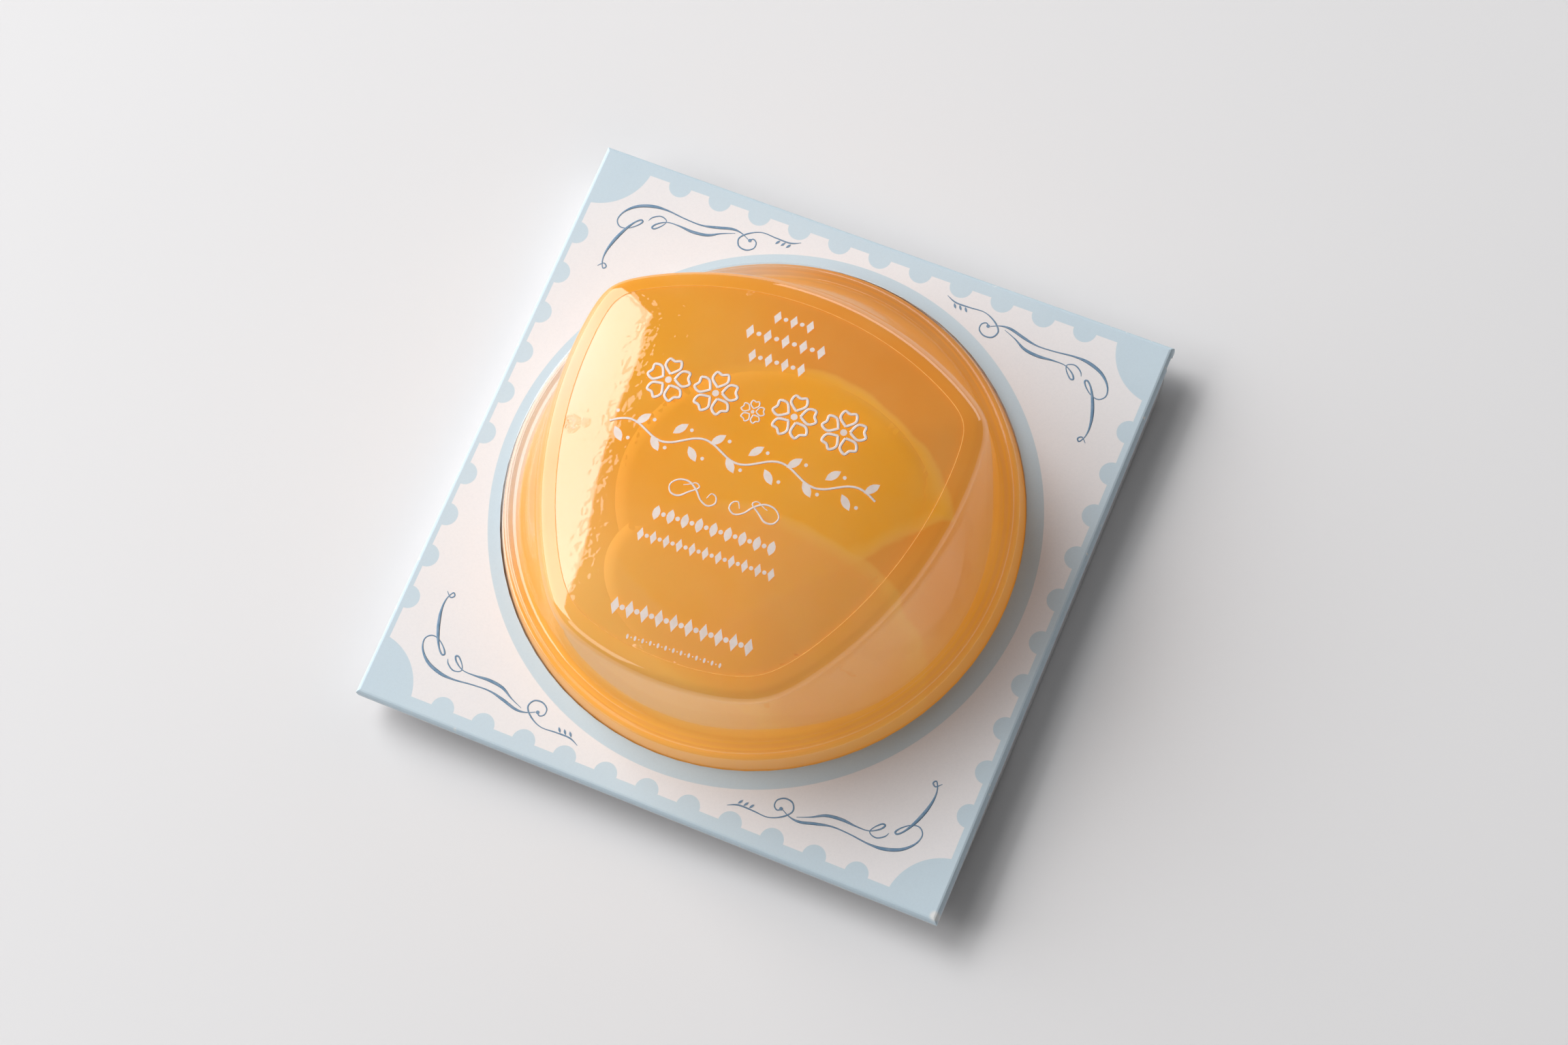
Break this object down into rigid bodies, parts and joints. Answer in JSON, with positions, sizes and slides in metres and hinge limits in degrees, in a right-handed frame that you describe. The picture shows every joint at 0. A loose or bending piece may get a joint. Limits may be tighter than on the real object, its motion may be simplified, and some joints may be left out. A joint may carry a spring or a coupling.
{
  "type": "packed fruit jelly in a moulded clear cup on a square card",
  "caption": "Sealed clear cup of amber fruit jelly whose cushion-shaped dome stands through the round hole of a folded square card; it lies on its back.",
  "frame": {"origin": "bottom centre of the pack's bounding box, on the surface that the pack's back lies on", "axes": "+X across the card, +Y up the card, +Z out of its printed front face"},
  "size_m": [0.12, 0.12, 0.0421],
  "materials": {
    "front_card": "satin",
    "back_tray": "matte",
    "cup": "gloss",
    "jelly": "gloss",
    "lid_film": "satin",
    "label": "gloss"
  },
  "bodies": {
    "root": {"front_card": "front_card", "back_tray": "back_tray", "cup": "cup", "jelly": "jelly", "lid_film": "lid_film", "label": "label"}
  },
  "joints": []
}
